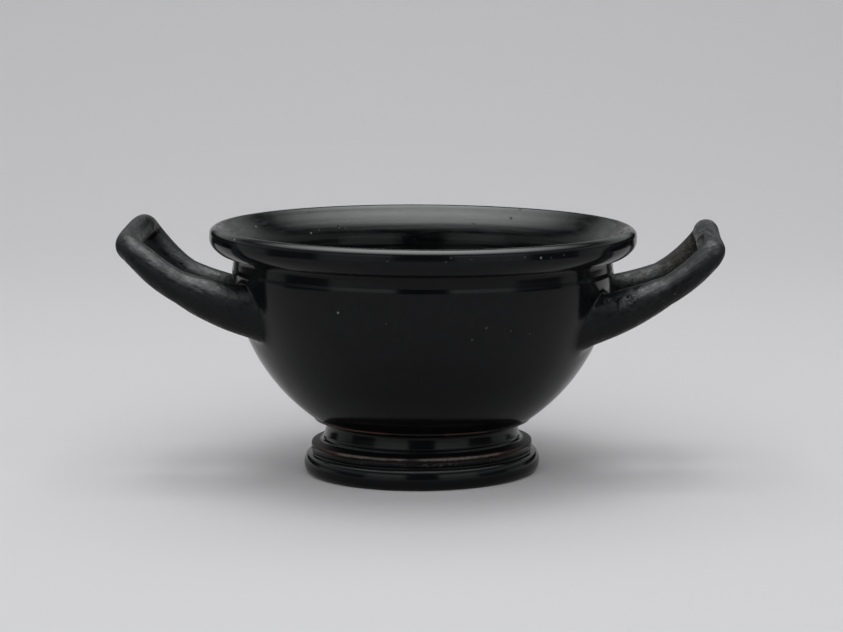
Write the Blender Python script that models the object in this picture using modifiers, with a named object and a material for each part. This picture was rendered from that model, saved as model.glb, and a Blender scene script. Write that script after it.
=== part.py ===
"""Black-gloss skyphos of the cup-skyphos form: a deep bowl on a moulded ring foot, with two upswept loop handles.

Body, foot and handles were fired as one piece, so the vessel is one hollow solid.
The foot stands on the XY plane with its centre at the origin. +X runs through the two handles and +Z is up.
Profile sizes are in millimetres as (radius, height) and become metres where the mesh is made.
"""

import math

import bmesh
import bpy
from mathutils import Matrix, Vector

MM = 0.001
MERGE_DISTANCE = 0.00001
SHARP_DEGREES = 35.0
GLOSS_COLOUR = (0.012, 0.013, 0.014, 1.0)
GLOSS_ROUGHNESS = 0.25

# Turned body. An edge's run is how far it goes sideways, and its drop how far it goes down.
TURN_STEPS = 64
WALL_STEPS = 10
BEND_STEPS = 3
BOWL_CENTRE_Z = 62.2
BOWL_OUTER_RADIUS = 56.0
BOWL_INNER_RADIUS = 51.6
STEP_Z = 60.5
STEP_DROP = 0.2
NECK_RADIUS = 55.7
NECK_TOP_Z = 63.7
NECK_CORNER_RADIUS = 56.1
NECK_CORNER_Z = 64.3
LIP_RADIUS = 62.6
LIP_TOP_Z = 72.6
LIP_CROWN_RADIUS = 60.2
LIP_BELLY_Z = 69.5
LIP_EDGE_Z = 64.4
LIP_UNDER_WIDTH = 3.9
LIP_UNDER_END_DEGREES = -80.0
INNER_LIP_ROLL = 10.0
INNER_LIP_START_Z = 61.0
INNER_LIP_END_DEGREES = 128.0
CROWN_START_DEGREES = 125.0

# Ring foot.
STEM_TOP_RADIUS = 32.0
STEM_EDGE_RUN = 0.25
SCOTIA_DEPTH = 4.15
SCOTIA_START_DEGREES = 100.0
RING_RADIUS = 32.5
RING_TOP_Z = 8.95
RING_BASE_Z = 6.5
CREASE_RADIUS = 32.9
CREASE_Z = 6.05
BASE_EDGE_RADIUS = 33.9
BASE_EDGE_Z = 5.75
BASE_RADIUS = 34.7
BASE_BELLY_Z = 2.7
BASE_SHOULDER_RUN = 1.4
BASE_SHOULDER_DROP = 3.4
BASE_SHOULDER_DEGREES = 45.0
REST_OUTER_RADIUS = 33.0
REST_INNER_RADIUS = 29.6
RECESS_MOUTH_RADIUS = 27.6
RECESS_MOUTH_Z = 1.6
RECESS_TOP_RADIUS = 25.2
RECESS_TOP_Z = 10.4
UNDERSIDE_RADIUS = 24.0

# The bowl was joined to its foot slightly out of true, so it leans towards +X.
LEAN_DEGREES = 0.8
LEAN_START_Z = 8.0
LEAN_FULL_Z = 17.0

# Handles. Each arm runs from the wall out to a shoulder, and the grip joins the two shoulders.
# Guide points are (distance out from the axis, distance from the handle's middle plane, height).
HANDLES = {
    "handle_right": {
        "side": 1,
        "root_front": (47.0, 22.5, 46.8),
        "knee_front": (68.5, 21.5, 53.55),
        "shoulder_front": (83.9, 22.5, 67.5),
        "grip_front": (82.6, 15.5, 67.65),
        "grip_back": (84.6, 20.0, 70.6),
        "shoulder_back": (85.8, 27.5, 65.6),
        "knee_back": (69.3, 21.0, 51.55),
        "root_back": (47.0, 22.5, 46.8),
    },
    "handle_left": {
        "side": -1,
        "root_front": (47.0, 22.9, 49.0),
        "knee_front": (68.6, 22.3, 53.75),
        "shoulder_front": (82.5, 17.5, 66.55),
        "grip_front": (86.8, 11.0, 67.2),
        "grip_back": (83.1, 21.5, 71.0),
        "shoulder_back": (83.2, 27.5, 66.7),
        "knee_back": (69.1, 21.5, 50.9),
        "root_back": (47.0, 22.9, 44.4),
    },
}
GUIDE_ORDER = (
    "root_front", "knee_front", "shoulder_front", "grip_front",
    "grip_back", "shoulder_back", "knee_back", "root_back",
)
HANDLE_STATIONS = 37
HANDLE_SIDES = 14
# The section at shares of the way from the grip's middle to the wall: half width, half height, and how far
# its upper side tips towards the bowl, in degrees.
HANDLE_SECTIONS = (
    (0.00, 3.75, 4.3, 48.0),
    (0.45, 4.0, 3.7, 40.0),
    (0.80, 5.2, 4.2, 22.0),
    (1.00, 6.9, 7.0, 0.0),
)
# The handle's end lies on a sphere halfway through the bowl's wall, and the sections near it bend to match.
ROOT_SPHERE_RADIUS = 53.8
ROOT_SHARE = 0.7
CURVE_DEGREE = 3


def clear_scene():
    """Remove whatever the file holds."""
    for obj in list(bpy.data.objects):
        bpy.data.objects.remove(obj, do_unlink=True)


def new_collection(name):
    collection = bpy.data.collections.new(name)
    bpy.context.scene.collection.children.link(collection)
    return collection


def gloss_material(name):
    """Fired black slip: near black with a soft shine."""
    material = bpy.data.materials.new(name)
    material.use_nodes = True
    shader = material.node_tree.nodes["Principled BSDF"]
    shader.inputs["Base Color"].default_value = GLOSS_COLOUR
    shader.inputs["Roughness"].default_value = GLOSS_ROUGHNESS
    shader.inputs["Metallic"].default_value = 0.0
    return material


def arc(centre, radii, start, end, count):
    """Points on an elliptical arc, with angles in degrees from +X towards +Z."""
    points = []
    for step in range(count + 1):
        angle = math.radians(start + (end - start) * step / count)
        points.append((centre[0] + radii[0] * math.cos(angle), centre[1] + radii[1] * math.sin(angle)))
    return points


def sphere_height(radius, distance):
    """Height of the underside of a sphere about the bowl's centre, at a distance from the axis."""
    return BOWL_CENTRE_Z - math.sqrt(radius ** 2 - distance ** 2)


def inner_profile():
    """From the middle of the bowl's floor up the inside to the crown of the lip."""
    wall_angle = math.degrees(math.asin((INNER_LIP_START_Z - BOWL_CENTRE_Z) / BOWL_INNER_RADIUS))
    wall = arc((0.0, BOWL_CENTRE_Z), (BOWL_INNER_RADIUS,) * 2, -90.0, wall_angle, WALL_STEPS)
    wall[0] = (0.0, wall[0][1])
    roll_centre = (wall[-1][0] + INNER_LIP_ROLL, INNER_LIP_START_Z)
    roll = arc(roll_centre, (INNER_LIP_ROLL,) * 2, 180.0, INNER_LIP_END_DEGREES, BEND_STEPS)
    crown_radii = (LIP_RADIUS - LIP_CROWN_RADIUS, LIP_TOP_Z - LIP_BELLY_Z)
    crown = arc((LIP_CROWN_RADIUS, LIP_BELLY_Z), crown_radii, CROWN_START_DEGREES, 90.0, BEND_STEPS - 1)
    return wall + roll[1:] + crown


def lip_profile():
    """From the crown down the lip's face and under its edge to the neck."""
    crown_radii = (LIP_RADIUS - LIP_CROWN_RADIUS, LIP_TOP_Z - LIP_BELLY_Z)
    face = arc((LIP_CROWN_RADIUS, LIP_BELLY_Z), crown_radii, 90.0, 0.0, BEND_STEPS)
    under_radii = (LIP_UNDER_WIDTH, LIP_BELLY_Z - LIP_EDGE_Z)
    under_centre = (LIP_RADIUS - LIP_UNDER_WIDTH, LIP_BELLY_Z)
    under = arc(under_centre, under_radii, 0.0, LIP_UNDER_END_DEGREES, BEND_STEPS + 1)
    return face[1:] + under[1:] + [(NECK_CORNER_RADIUS, NECK_CORNER_Z), (NECK_RADIUS, NECK_TOP_Z)]


def wall_profile():
    """From the neck over the small step and down the bowl to the top of the foot."""
    step_angle = math.degrees(math.asin((STEP_Z - STEP_DROP - BOWL_CENTRE_Z) / BOWL_OUTER_RADIUS))
    foot_angle = -math.degrees(math.acos(STEM_TOP_RADIUS / BOWL_OUTER_RADIUS))
    wall = arc((0.0, BOWL_CENTRE_Z), (BOWL_OUTER_RADIUS,) * 2, step_angle, foot_angle, WALL_STEPS)
    return [(NECK_RADIUS, STEP_Z)] + wall


def foot_profile():
    """From the stem's scotia over the ring and the base moulding, then up inside the foot to the axis."""
    stem_top_z = sphere_height(BOWL_OUTER_RADIUS, STEM_TOP_RADIUS)
    scotia_centre = (STEM_TOP_RADIUS + STEM_EDGE_RUN, (stem_top_z + RING_TOP_Z) / 2)
    scotia_radii = (SCOTIA_DEPTH, (stem_top_z - RING_TOP_Z) / 2)
    scotia = arc(scotia_centre, scotia_radii, SCOTIA_START_DEGREES, 270.0, 2 * BEND_STEPS)
    ring = [
        (RING_RADIUS, RING_TOP_Z),
        (RING_RADIUS, RING_BASE_Z),
        (CREASE_RADIUS, CREASE_Z),
        (BASE_EDGE_RADIUS, BASE_EDGE_Z),
    ]
    shoulder_centre = (BASE_RADIUS - BASE_SHOULDER_RUN, BASE_BELLY_Z)
    shoulder_radii = (BASE_SHOULDER_RUN, BASE_SHOULDER_DROP)
    shoulder = arc(shoulder_centre, shoulder_radii, BASE_SHOULDER_DEGREES, 0.0, BEND_STEPS - 1)
    lower_radii = (BASE_RADIUS - REST_OUTER_RADIUS, BASE_BELLY_Z)
    lower = arc((REST_OUTER_RADIUS, BASE_BELLY_Z), lower_radii, 0.0, -90.0, BEND_STEPS)
    recess = [
        (REST_INNER_RADIUS, 0.0),
        (RECESS_MOUTH_RADIUS, RECESS_MOUTH_Z),
        (RECESS_TOP_RADIUS, RECESS_TOP_Z),
    ]
    underside_angle = -math.degrees(math.acos(UNDERSIDE_RADIUS / BOWL_OUTER_RADIUS))
    underside = arc((0.0, BOWL_CENTRE_Z), (BOWL_OUTER_RADIUS,) * 2, underside_angle, -90.0, BEND_STEPS)
    underside[-1] = (0.0, underside[-1][1])
    return scotia + ring + shoulder + lower[1:] + recess + underside


def turned_body(collection, material):
    """Turn the closed profile about the Z axis."""
    profile = inner_profile() + lip_profile() + wall_profile() + foot_profile()
    bm = bmesh.new()
    verts = [bm.verts.new((radius * MM, 0.0, height * MM)) for radius, height in profile]
    for first, second in zip(verts, verts[1:]):
        bm.edges.new((first, second))
    mesh = bpy.data.meshes.new("body_profile")
    bm.to_mesh(mesh)
    bm.free()
    body = bpy.data.objects.new("skyphos", mesh)
    collection.objects.link(body)
    screw = body.modifiers.new("turn", "SCREW")
    screw.axis = "Z"
    screw.steps = TURN_STEPS
    screw.render_steps = TURN_STEPS
    screw.use_merge_vertices = True
    screw.merge_threshold = MERGE_DISTANCE
    body.data.materials.append(material)
    return body


def bake(body):
    """Replace an object's mesh by its evaluated one, so that its points can be moved."""
    depsgraph = bpy.context.evaluated_depsgraph_get()
    mesh = bpy.data.meshes.new_from_object(body.evaluated_get(depsgraph))
    body.modifiers.clear()
    body.data = mesh


def spline_point(guides, t):
    """A point on the cubic B-spline that starts at the first guide point and ends at the last (de Boor)."""
    spans = len(guides) - CURVE_DEGREE
    knots = [0.0] * CURVE_DEGREE + [float(knot) for knot in range(spans + 1)] + [float(spans)] * CURVE_DEGREE
    place = t * spans
    span = min(int(place), spans - 1)
    points = [guides[span + offset].copy() for offset in range(CURVE_DEGREE + 1)]
    for level in range(1, CURVE_DEGREE + 1):
        for offset in range(CURVE_DEGREE, level - 1, -1):
            low = knots[span + offset]
            high = knots[span + offset + 1 + CURVE_DEGREE - level]
            points[offset] = points[offset - 1].lerp(points[offset], (place - low) / (high - low))
    return points[CURVE_DEGREE]


def handle_guides(shape):
    """The loop's guide points from the front root round the grip to the back root."""
    guides = []
    for name in GUIDE_ORDER:
        out, across, height = shape[name]
        front_or_back = -1 if name.endswith("front") else 1
        guides.append(Vector((shape["side"] * out, front_or_back * across, height)))
    return guides


def section_at(share):
    """The section between the listed ones: half width, half height and tip."""
    for low, high in zip(HANDLE_SECTIONS, HANDLE_SECTIONS[1:]):
        if share <= high[0]:
            u = (share - low[0]) / (high[0] - low[0])
            return [first + (second - first) * u for first, second in zip(low[1:], high[1:])]
    return HANDLE_SECTIONS[-1][1:]


def smooth(u):
    """Ease from 0 to 1 with level ends."""
    u = min(max(u, 0.0), 1.0)
    return u * u * (3 - 2 * u)


def seat(point, direction, radius, share):
    """Slide a point by a share of its way along a direction to a sphere about the bowl's centre."""
    offset = point - Vector((0.0, 0.0, BOWL_CENTRE_Z))
    along = offset.dot(direction)
    slide = math.sqrt(along ** 2 - offset.length_squared + radius ** 2) - along
    return point + direction * slide * share


def handle_ring(guides, side, t):
    """The section's corner points at one place on the loop."""
    step = 0.5 / HANDLE_STATIONS
    centre = spline_point(guides, t)
    tangent = (spline_point(guides, min(t + step, 1.0)) - spline_point(guides, max(t - step, 0.0))).normalized()
    from_grip = abs(2 * t - 1)
    half_width, half_height, tip = section_at(from_grip)
    up = Vector((-side * math.sin(math.radians(tip)), 0.0, math.cos(math.radians(tip))))
    across = tangent.cross(up).normalized()
    lift = across.cross(tangent)
    outwards = tangent if t < 0.5 else -tangent
    centre_radius = (centre - Vector((0.0, 0.0, BOWL_CENTRE_Z))).length
    radius = ROOT_SPHERE_RADIUS if from_grip == 1.0 else centre_radius
    share = smooth((from_grip - ROOT_SHARE) / (1 - ROOT_SHARE))
    ring = []
    for corner in range(HANDLE_SIDES):
        angle = 2 * math.pi * corner / HANDLE_SIDES
        point = centre + across * half_width * math.cos(angle) + lift * half_height * math.sin(angle)
        ring.append(seat(point, outwards, radius, share) if share else point)
    return ring


def handle_rings(shape):
    """Rings of points round the loop; the first and last lie inside the bowl's wall."""
    guides = handle_guides(shape)
    places = [station / (HANDLE_STATIONS - 1) for station in range(HANDLE_STATIONS)]
    return [handle_ring(guides, shape["side"], t) for t in places]


def loft(name, rings, collection, material):
    """A closed tube through rings of points, with a cap on each end."""
    bm = bmesh.new()
    loops = [[bm.verts.new(point * MM) for point in ring] for ring in rings]
    count = len(loops[0])
    for near, far in zip(loops, loops[1:]):
        for corner in range(count):
            after = (corner + 1) % count
            bm.faces.new((near[corner], near[after], far[after], far[corner]))
    for loop in (loops[0], loops[-1]):
        middle = bm.verts.new(sum((vert.co for vert in loop), Vector()) / count)
        for corner in range(count):
            bm.faces.new((loop[corner], loop[(corner + 1) % count], middle))
    bmesh.ops.recalc_face_normals(bm, faces=bm.faces)
    mesh = bpy.data.meshes.new(name)
    bm.to_mesh(mesh)
    bm.free()
    obj = bpy.data.objects.new(name, mesh)
    obj.data.materials.append(material)
    obj.display_type = "WIRE"
    obj.hide_render = True
    collection.objects.link(obj)
    return obj


def join_handle(body, handle):
    union = body.modifiers.new(handle.name, "BOOLEAN")
    union.operation = "UNION"
    union.solver = "EXACT"
    union.object = handle


def lean_share(height):
    """How much of the lean a height has taken up: none in the foot, all of it in the bowl."""
    return smooth((height - LEAN_START_Z) / (LEAN_FULL_Z - LEAN_START_Z))


def lean(body):
    """Turn every point about the Y axis by its height's share of the lean."""
    for vert in body.data.vertices:
        angle = math.radians(LEAN_DEGREES) * lean_share(vert.co.z / MM)
        vert.co = Matrix.Rotation(angle, 3, "Y") @ vert.co


def build():
    clear_scene()
    vessel_parts = new_collection("skyphos")
    joined_shapes = new_collection("joined_shapes")
    material = gloss_material("black_gloss")
    body = turned_body(vessel_parts, material)
    for name, shape in HANDLES.items():
        join_handle(body, loft(name, handle_rings(shape), joined_shapes, material))
    bake(body)
    lean(body)
    body.data.shade_smooth()
    body.data.set_sharp_from_angle(angle=math.radians(SHARP_DEGREES))


build()
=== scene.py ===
"""Black-gloss skyphos: the fine surface, its finish, and a plain studio round it.

Sizes of the vessel and places of the camera are in millimetres, and become metres where a mesh or
the camera is made. The floor and the lights are in metres from the start. An azimuth is in degrees
round the vessel: 0 faces the camera (-Y), 90 is +X, 180 is the back.
"""

import math

import bmesh
import bpy
from mathutils import Matrix, Vector, noise


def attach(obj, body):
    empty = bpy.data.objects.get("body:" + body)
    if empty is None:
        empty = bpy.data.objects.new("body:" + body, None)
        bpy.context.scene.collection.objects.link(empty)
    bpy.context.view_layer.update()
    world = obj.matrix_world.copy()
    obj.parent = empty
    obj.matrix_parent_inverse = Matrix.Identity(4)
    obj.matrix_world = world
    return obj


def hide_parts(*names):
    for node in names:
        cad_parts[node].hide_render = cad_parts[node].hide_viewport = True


MM = 0.001

# Turned form.
TURN_STEPS = 260
BOWL_CENTRE_Z = 62.2
BOWL_OUTER_RADIUS = 56.0
BOWL_INNER_RADIUS = 51.6
NECK_RADIUS = 55.7
STEP_Z = 60.85
STEP_DROP = 1.1
STEP_RADIUS = 55.94
LIP_CROWN_RADIUS = 60.0
LIP_TOP_Z = 72.55
LIP_BELLY_RADIUS = 62.53
LIP_BELLY_Z = 69.5
WALL_TOP_Z = 64.0
MIDDLE_OF_WALL = 53.8
MIDDLE_OF_LIP_SLOPE = 0.82
STEM_TOP_RADIUS = 32.0
STEM_TOP_Z = 16.24
SCOTIA_RADIUS = 28.22
SCOTIA_Z = 14.15
RING_RADIUS = 32.5
RECESS_RADIUS = 22.6

# Unevenness of hand turning: how far the surface strays.
WHEEL_MARKS = 0.035
FINE_WHEEL_MARKS = 0.016
INNER_SWELL = 0.08
OUTER_SWELL = 0.07
OUTER_WHEEL_MARKS = 0.012
LIP_SWELL = 0.09
FOOT_SWELL = 0.16
FOOT_RIPPLE = 0.035
FOOT_OUT_OF_ROUND = 0.06

# Lean of the bowl on its foot, towards +X.
LEAN_DEGREES = 0.8
LEAN_START_Z = 8.0
LEAN_FULL_Z = 17.0

# Handles: guide points as (distance out, distance from the middle plane, height), and sections as
# (share of the way from the middle of the grip to the roots, half width, half height, tip in degrees).
GUIDE_ORDER = (
    "root_front", "knee_front", "shoulder_front", "grip_front",
    "grip_back", "shoulder_back", "knee_back", "root_back",
)
HANDLES = {
    "right": {
        "side": 1,
        "root_front": (47.0, 22.5, 46.8),
        "knee_front": (68.5, 21.5, 53.55),
        "shoulder_front": (83.9, 22.5, 67.5),
        "grip_front": (82.6, 15.5, 67.65),
        "grip_back": (84.6, 20.0, 70.6),
        "shoulder_back": (85.8, 27.5, 65.6),
        "knee_back": (69.3, 21.0, 51.55),
        "root_back": (47.0, 22.5, 46.8),
        "sections": (
            (0.00, 3.5, 4.1, 49.0),
            (0.45, 4.05, 3.65, 38.0),
            (0.80, 5.35, 4.0, 17.0),
            (1.00, 6.85, 6.9, 0.0),
        ),
    },
    "left": {
        "side": -1,
        "root_front": (47.0, 22.9, 49.0),
        "knee_front": (68.6, 22.3, 53.75),
        "shoulder_front": (82.5, 17.5, 66.55),
        "grip_front": (86.8, 11.0, 67.2),
        "grip_back": (83.1, 21.5, 71.0),
        "shoulder_back": (83.2, 27.5, 66.7),
        "knee_back": (69.1, 21.5, 50.9),
        "root_back": (47.0, 22.9, 44.4),
        "sections": (
            (0.00, 3.5, 4.1, 47.5),
            (0.45, 3.95, 3.7, 44.0),
            (0.80, 5.0, 4.5, 22.0),
            (1.00, 6.85, 7.6, 0.0),
        ),
    },
}
HANDLE_STATIONS = 190
HANDLE_SIDES = 46
HANDLE_LUMPS = 0.035
HANDLE_FINE_LUMPS = 0.008
LUMPS_FADE = 0.1
ROOT_SPHERE_RADIUS = 53.8
ROOT_SHARE = 0.66
CURVE_DEGREE = 3

# Smoothing of the seams between wall and handles: points closer than the merge distance (in metres)
# become one, then the seam's points and some rings of points round them are eased.
MERGE_DISTANCE = 0.00004
SEAM_RINGS = 5
SEAM_PASSES = 12
SHARE_PASSES = 4

# Colours, as linear light.
SLIP = (0.0032, 0.0036, 0.0043)
WORN_SLIP = (0.0056, 0.0062, 0.0068)
# Painted shade: a darker, bluer slip for the inside of the bowl.
INNER_PAINTED_SHADE = (0.0010, 0.0012, 0.0016)
DUST = (0.05, 0.048, 0.044)
SPECK = (0.14, 0.13, 0.12)
FAINT_SPECK = (0.035, 0.034, 0.032)
EARTH = (0.016, 0.014, 0.009)
EARTH_CRUMBS = (0.05, 0.045, 0.034)
BARE = (0.10, 0.08, 0.07)
CLAY = (0.045, 0.021, 0.014)
CRUST = (0.10, 0.086, 0.076)
PINK_CRUST = (0.10, 0.066, 0.064)
GRIT = (0.17, 0.155, 0.13)
MILTOS = (0.045, 0.018, 0.013)
WASH = (0.018, 0.006, 0.005)
# Light grey of worn, scuffed glaze, also used as a painted highlight along the base's arris.
WEAR_AND_EDGE_GLINT = (0.055, 0.055, 0.057)

# Hollows pressed into the grips, in their places before the lean: both ends, width to each side and depth.
HOLLOWS = (
    ((-81.1, 13.5, 71.5), (-81.7, 1.5, 70.3), 3.0, 1.5),
    ((82.7, -3.4, 72.5), (84.9, -18.6, 70.5), 1.4, 0.6),
    ((80.2, -10.5, 70.7), (79.7, -17.8, 69.3), 2.0, 1.0),
    ((82.0, 2.0, 72.6), (82.5, -1.0, 72.6), 3.5, 0.35),
    ((83.0, -22.4, 68.8), (83.4, -23.0, 68.4), 1.5, 0.5),
)

# Slope of the handles' arms, for streaks that run along them.
ARM_SLOPE = math.radians(36.0)
ARM_COS = math.cos(ARM_SLOPE)
ARM_SIN = math.sin(ARM_SLOPE)

# Marks and patches: azimuth, radius from the axis, height and size. Specks are grit and lime; chips show
# the clay; dull and earthy patches are where the finish is worn or dirty.
LIGHT_SPECKS = (
    (-25.2, 55.3, 53.6, 0.45), (-59.4, 61.8, 71.6, 0.5), (31.1, 62.5, 69.6, 0.42),
    (-139.6, 52.9, 65.6, 0.42), (-115.9, 55.9, 69.3, 0.45),
)
FAINT_SPECKS = (
    (14.6, 53.8, 46.5, 0.4), (18.7, 54.6, 49.8, 0.5), (26.7, 54.3, 48.5, 0.35), (33.5, 54.0, 47.3, 0.35),
    (-10.7, 54.9, 51.1, 0.3), (6.9, 62.4, 70.5, 0.4), (5.6, 62.5, 69.4, 0.35), (26.4, 62.5, 70.1, 0.4),
    (34.2, 62.5, 69.4, 0.35), (38.4, 62.5, 69.9, 0.4), (-143.3, 53.2, 66.3, 0.45),
    (-153.2, 53.3, 66.4, 0.4), (69.4, 76.7, 56.2, 0.5), (68.3, 73.8, 54.3, 0.45),
    (75.0, 84.9, 64.0, 0.45), (108.4, 66.4, 54.6, 0.4),
)
PITS = (
    (-17.9, 55.6, 55.9, 0.9), (-10.0, 55.0, 51.5, 0.6), (3.2, 50.9, 39.0, 0.5), (-3.0, 54.0, 47.5, 0.4),
    (24.0, 55.0, 52.5, 0.35), (-35.0, 54.0, 47.0, 0.4), (40.0, 53.0, 44.0, 0.4), (-46.0, 62.3, 70.2, 0.4),
    (-9.0, 62.5, 69.8, 0.5), (12.0, 62.5, 70.3, 0.4), (22.0, 62.5, 69.9, 0.35), (-151.0, 53.6, 66.9, 0.5),
    (149.4, 58.9, 72.2, 0.6), (151.1, 56.0, 69.6, 0.7), (-143.0, 58.0, 71.4, 0.4), (163.0, 54.0, 67.2, 0.5),
)
ROUGH_PATCHES = (
    (64.6, 63.6, 53.5, 2.9), (65.5, 65.0, 54.8, 2.0), (63.6, 58.6, 53.8, 1.5),
)
DULL_PATCHES = (
    (75.5, 86.4, 69.6, 8.0), (104.0, 83.0, 63.8, 7.0), (104.0, 77.4, 59.8, 6.0),
)
EARTHY_PATCHES = (
    (104.0, 84.5, 62.6, 6.0), (104.1, 80.0, 60.0, 4.5), (104.3, 76.0, 57.4, 4.5), (107.0, 68.0, 53.5, 4.5),
)
CHIPS = (
    (59.3, 54.8, 40.7, 0.9), (-59.5, 55.1, 40.3, 1.1),
)

# Where the foot shows more than black slip: bands between two heights or two azimuths.
BOWL_EDGE = (15.85, 16.3)
BARE_EDGE_LEFT = (-60.0, -22.0)
BARE_EDGE_RIGHT = (13.0, 33.0)
CRUST_START_Z = 8.42
CRUST_LEFT = (-72.0, -12.0)
CRUST_RIGHT = (2.0, 60.0)
PINK_CRUST_WAY = (30.0, 48.0)
RED_LEFT = (-110.0, -52.0)
RED_RIGHT = (48.0, 90.0)
GRIT_BAND = (8.4, 9.25)
GRIT_WAY = (7.0, 30.0)
WASH_BAND = (7.95, 8.3)
SMEAR_BAND = (7.0, 7.6)
# Heights and azimuths of a painted highlight along the base's arris.
ARRIS_GLINT_BAND = (5.6, 5.85)
ARRIS_GLINT_WAY = (-48.0, 38.0)
FOOT_TOP_BAND = (8.5, 9.9)

# Roughness of the slip, and what each part or mark adds to it.
SLIP_IOR = 1.27
SLIP_ROUGHNESS = 0.13
HANDLE_ROUGHER = 0.24
INSIDE_ROUGHER = 0.02
SPECK_ROUGHER = 0.4
ROUGH_PATCH_ROUGHER = 0.1
FOOT_TOP_ROUGHER = 0.3
DULL_ROUGHER = 0.2
EARTHY_ROUGHER = 0.25

# Relief of the surface, in steps of a tenth of a millimetre.
RELIEF_STEP = 0.0001
GRAIN_RELIEF = 0.06
TINY_RELIEF = 0.02
TURNED_RELIEF = 0.55
PATCHY_RELIEF = 0.05
HANDLE_PATCHY_RELIEF = 1.6
INSIDE_PATCHY_RELIEF = 0.25
GRIP_STREAK_RELIEF = 0.5
ARM_STREAK_RELIEF = 1.5
HANDLE_BLOTCH_RELIEF = 3.0
GRIP_BLOTCH_RELIEF = 6.0
PIT_RELIEF = -1.5
ROUGH_PATCH_RELIEF = 5.0
ROUGH_PATCH_GRAIN_RELIEF = 2.0
HANDLE_GRAIN_RELIEF = 0.35
EARTHY_GRAIN_RELIEF = 2.0

# Camera: distance to its aim point, height of that point, pitch down and roll.
CAMERA_DISTANCE = 856.0
CAMERA_AIM_Z = 45.75
CAMERA_SIDE = 0.3
CAMERA_PITCH_DEGREES = 8.05
CAMERA_ROLL_DEGREES = -0.516
CAMERA_LENS = 124.3
CAMERA_SENSOR = 36.0

# The light overhead that the glaze mirrors: the way to it, its spread in degrees, its brightness, and
# how sharply it ends (2 is a bell, more is a flatter top with a steeper edge).
LAMP_WAY = Vector((0.0, 0.1, 1.0)).normalized()
LAMP_SPREAD = 33.0
LAMP_PEAK = 10.3
LAMP_EDGE = 2.8

# The rest of what the glaze mirrors. Sides are degrees round from the camera's side to either hand,
# heights are degrees above the horizon, and the other numbers are brightness.
ROOM_AHEAD = 0.03
ROOM_ASIDE = 0.07
ROOM_BEHIND_SHARE = 0.2
CARD_SIDES = (17.5, 54.0)
CARD_TOP = 24.0
CARD_BRIGHTNESS = 0.65
SHELF_HEIGHTS = (18.0, 24.0)
SHELF_BRIGHTNESS = 0.6
SIDE_CARD_SIDES = (92.0, 117.0)
SIDE_CARD_TOP = 4.0
SIDE_CARD_BRIGHTNESS = 0.4
ROOM_TINT = (0.97, 1.0, 1.0)

# The floor: colours as linear light, half widths in metres. The mirrored strip lies just above it.
FLOOR_COLOUR = (0.72, 0.72, 0.735)
FLOOR_HALF_WIDTH = 3.0
FLOOR_ROUGHNESS = 0.9
MIRRORED_COLOUR = (0.6, 0.6, 0.61)
MIRRORED_HALF_WIDTH = 0.37
MIRRORED_LIFT = 0.0001

# Soft lights: place and size in metres, and power in watts.
LIGHTS = {
    "above_front": ((0.0, -1.2, 1.5), (2.2, 1.2), 11.9),
    "above": ((0.0, 0.0, 1.0), (0.6, 0.6), 3.5),
    "back": ((0.0, 1.0, 1.3), (2.2, 0.8), 7.2),
    "front": ((0.0, -1.6, 0.7), (2.4, 0.9), 9.5),
    "left": ((-1.5, 0.05, 0.75), (1.3, 1.2), 3.1),
    "right": ((1.6, -0.5, 1.5), (1.4, 1.2), 3.1),
}


def smooth(u):
    """Ease from 0 to 1 with level ends."""
    u = min(max(u, 0.0), 1.0)
    return u * u * (3 - 2 * u)


def wave(azimuth, height, scale, seed):
    """Smooth noise over the turned surface, about -1 to 1, with no seam at the back."""
    angle = math.radians(azimuth)
    place = Vector((math.sin(angle) * scale, math.cos(angle) * scale, height + seed))
    return noise.noise(place)


def finger_rings(azimuth, height, drift, pitch, seed):
    """Noise in rings, as a potter's fingers leave: fast up the wall, slow round it."""
    return noise.noise(Vector((seed, drift * azimuth, pitch * height)))


def arc(centre, radii, start, end, spacing):
    """Points along an elliptical arc, angles in degrees from +radius towards +Z."""
    sweep = math.radians(end - start)
    length = abs(sweep) * (radii[0] + radii[1]) / 2
    count = max(2, round(length / spacing))
    points = []
    for step in range(count + 1):
        angle = math.radians(start) + sweep * step / count
        points.append((centre[0] + radii[0] * math.cos(angle), centre[1] + radii[1] * math.sin(angle)))
    return points


def line(start, end, spacing):
    count = max(1, round(math.dist(start, end) / spacing))
    return [
        (start[0] + (end[0] - start[0]) * step / count, start[1] + (end[1] - start[1]) * step / count)
        for step in range(count + 1)
    ]


def curve(guides, spacing):
    """A smooth curve through guide points (Catmull-Rom)."""
    points = [guides[0]]
    padded = [guides[0]] + list(guides) + [guides[-1]]
    for a, b, c, d in zip(padded, padded[1:], padded[2:], padded[3:]):
        count = max(1, round(math.dist(b, c) / spacing))
        for step in range(1, count + 1):
            t = step / count
            point = []
            for k in range(2):
                point.append(0.5 * (
                    2 * b[k] + (c[k] - a[k]) * t
                    + (2 * a[k] - 5 * b[k] + 4 * c[k] - d[k]) * t ** 2
                    + (3 * b[k] - a[k] - 3 * c[k] + d[k]) * t ** 3
                ))
            points.append(tuple(point))
    return points


def chain(*runs):
    """Join runs of points, leaving out a point that repeats the one before it."""
    points = []
    for run in runs:
        for point in run:
            if not points or math.dist(points[-1], point) > 0.02:
                points.append(point)
    return points


def inside_profile():
    """From the middle of the bowl's floor up the inside to the crown of the lip."""
    low = arc((0.0, BOWL_CENTRE_Z), (BOWL_INNER_RADIUS,) * 2, -90.0, -30.0, 2.4)
    high = arc((0.0, BOWL_CENTRE_Z), (BOWL_INNER_RADIUS,) * 2, -30.0, -4.0, 1.1)
    flare = curve([
        high[-1], (51.62, 60.4), (51.9, 62.6), (52.6, 65.0), (53.9, 67.2),
        (55.7, 69.1), (57.5, 70.65), (58.75, 71.8), (59.35, 72.3), (LIP_CROWN_RADIUS, LIP_TOP_Z),
    ], 0.55)
    return chain([(0.0, low[0][1])], low[1:], high, flare)


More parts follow.
